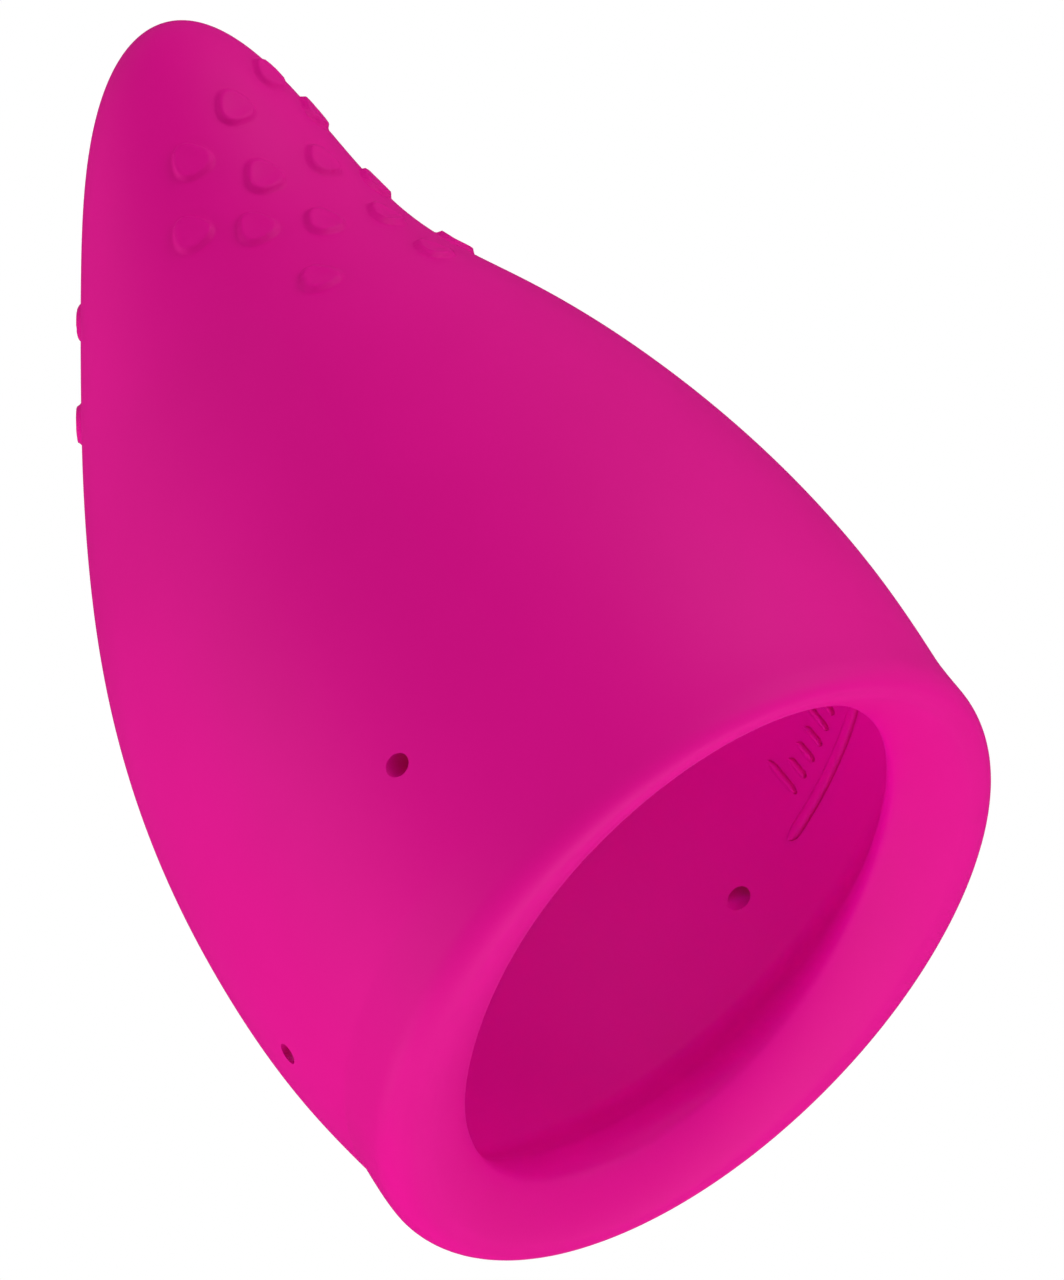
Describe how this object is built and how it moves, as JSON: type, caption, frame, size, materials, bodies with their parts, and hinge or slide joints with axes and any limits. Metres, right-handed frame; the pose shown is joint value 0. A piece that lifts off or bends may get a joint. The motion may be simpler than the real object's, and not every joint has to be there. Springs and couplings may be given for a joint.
{
  "type": "silicone menstrual cup",
  "caption": "One-piece soft silicone cup with a thick rolled rim, vent holes below it and a closed, leaning tip covered in small raised grips.",
  "frame": {"origin": "on the plane that the rim stands on, under the middle of the bounding box", "axes": "+Z from the rim up to the closed tip, +X the way the tip leans, so that XZ is the plane of symmetry"},
  "size_m": [0.0462, 0.0448, 0.0625],
  "materials": {
    "silicone": "soft matte, solid magenta"
  },
  "bodies": {
    "cup": {"cup_body": "silicone"},
    "tip": {"grip_tail": "silicone"}
  },
  "joints": [
    {"name": "tip_flex", "type": "hinge", "parent": "cup", "child": "tip", "pos_m": [0.0034, 0, 0.024], "axis": [0, 1, 0], "range_deg": [-20, 20], "stiffness_Nm_per_rad": 0.4}
  ]
}
